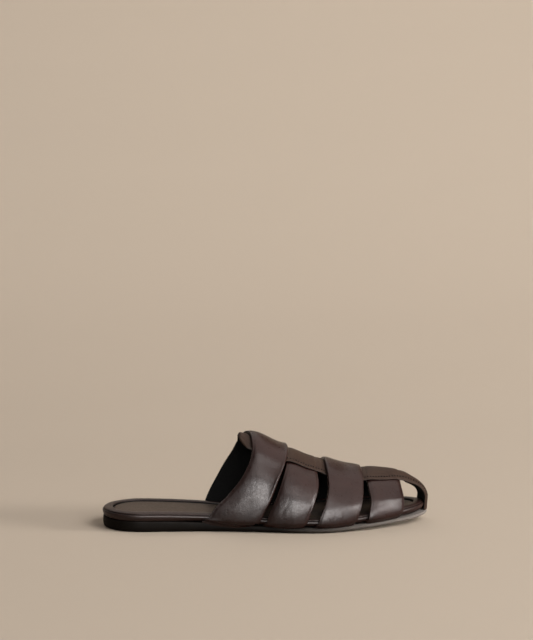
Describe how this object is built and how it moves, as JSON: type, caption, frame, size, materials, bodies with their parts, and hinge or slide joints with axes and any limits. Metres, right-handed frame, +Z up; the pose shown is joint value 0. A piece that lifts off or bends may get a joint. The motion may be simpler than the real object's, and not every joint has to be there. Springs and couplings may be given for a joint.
{
  "type": "mule shoe",
  "caption": "Right-foot flat mule: padded leather bands cross the foot and weave with a long band to the toe, over a rolled footbed, inlaid insole and flat sole; open heel.",
  "frame": {"origin": "middle of the shoe's bounding box, on the floor", "axes": "+X from heel to toe, +Y to the inner side of the foot, +Z up"},
  "size_m": [0.2562, 0.0876, 0.0726],
  "materials": {
    "outsole": "grey-black, matt, fine grained",
    "footbed": "dark brown, smooth, satin",
    "insole": "taupe brown, fine grain, matt",
    "upper": "dark brown, smooth, soft shine"
  },
  "bodies": {
    "root": {"outsole": "outsole", "footbed": "footbed", "insole": "insole", "upper": "upper"}
  },
  "joints": []
}
